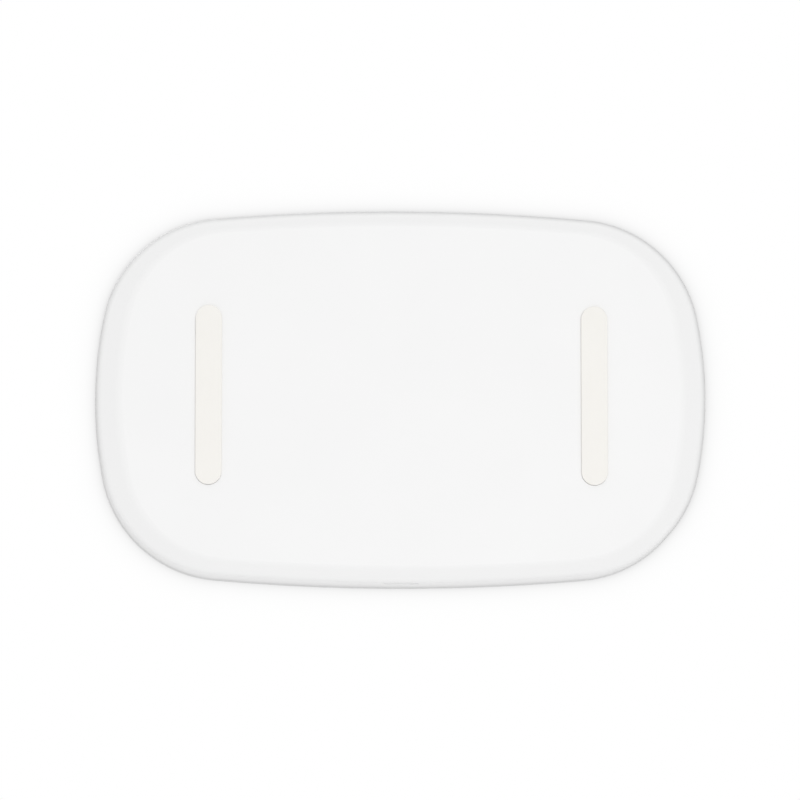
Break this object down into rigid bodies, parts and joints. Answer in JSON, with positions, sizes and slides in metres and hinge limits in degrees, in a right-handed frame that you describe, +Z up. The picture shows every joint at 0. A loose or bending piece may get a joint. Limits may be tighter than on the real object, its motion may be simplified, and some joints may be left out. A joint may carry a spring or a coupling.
{
  "type": "ultraviolet phone sanitizer box",
  "caption": "Low rounded clamshell box that disinfects a phone with ultraviolet light, with a hinged lid, a front button and a charging ring on top.",
  "frame": {"origin": "centre of the footprint, on the surface the feet stand on", "axes": "+X along the box's length, -Y its front with the button, +Y its hinge side, +Z up"},
  "size_m": [0.22, 0.1349, 0.05],
  "materials": {
    "case_plastic": "fine moulded satin, white ABS",
    "foot_silicone": "matt warm white silicone",
    "tray_plastic": "glossy moulded white ABS",
    "mirror_sheet": "bright rolled aluminium sheet",
    "clear_plastic": "clear moulded acrylic",
    "frosted_plastic": "milky light guide",
    "quartz": "polished quartz",
    "circuit_board": "white solder resist on glass laminate",
    "steel": "bright zinc plated steel",
    "nickel": "nickel plated magnet",
    "copper": "enamelled copper wire",
    "ferrite": "dark sintered ferrite",
    "black_plastic": "black moulded epoxy",
    "lamp_ceramic": "white ceramic lamp package",
    "wire_sleeve": "white silicone insulation",
    "plug_plastic": "natural nylon plug"
  },
  "bodies": {
    "base": {"bottom_shell": "case_plastic", "foot_left": "foot_silicone", "foot_right": "foot_silicone", "base_screws": "steel", "inner_tray": "tray_plastic", "floor_reflector": "mirror_sheet", "phone_rest_left": "clear_plastic", "phone_rest_right": "clear_plastic", "base_uv_board": "circuit_board", "base_uv_lamps": "lamp_ceramic", "base_uv_windows": "quartz", "base_uv_screws": "steel", "main_board": "circuit_board", "main_board_screws": "steel", "controller_chip": "black_plastic", "power_inductor": "ferrite", "board_capacitors": "black_plastic", "wire_plugs": "plug_plastic", "usb_socket": "steel", "button_board": "circuit_board", "button_plug": "plug_plastic", "switch_body": "black_plastic", "status_lamps": "lamp_ceramic", "light_ring": "frosted_plastic", "hall_sensor": "black_plastic", "button_wires": "wire_sleeve", "base_uv_wires": "wire_sleeve", "base_cable": "wire_sleeve", "base_magnets": "nickel", "hinge_pin_left": "steel", "hinge_pin_right": "steel"},
    "button": {"power_button": "case_plastic", "switch_plunger": "black_plastic"},
    "lid": {"lid_shell": "case_plastic", "lid_liner": "tray_plastic", "ceiling_reflector": "mirror_sheet", "lid_uv_board_left": "circuit_board", "lid_uv_board_right": "circuit_board", "lid_uv_lamps": "lamp_ceramic", "lid_uv_windows": "quartz", "lid_board_screws": "steel", "charging_coil": "copper", "ferrite_disc": "ferrite", "charger_board": "circuit_board", "charger_chips": "black_plastic", "lid_plug": "plug_plastic", "coil_leads": "copper", "lid_uv_wires": "wire_sleeve", "lid_cable": "wire_sleeve", "lid_screws": "steel", "lid_bumpers": "foot_silicone", "lid_magnets": "nickel", "sensor_magnet": "nickel", "charging_pad": "foot_silicone"}
  },
  "joints": [
    {"name": "lid_hinge", "type": "hinge", "parent": "base", "child": "lid", "pos_m": [0, 0.0643, 0.031], "axis": [-1, 0, 0], "range_deg": [0, 95]},
    {"name": "button_press", "type": "slide", "parent": "base", "child": "button", "axis": [0, 1, 0], "range_m": [0, 0.0005], "stiffness_N_per_m": 3000, "springref_m": -0.0003}
  ]
}
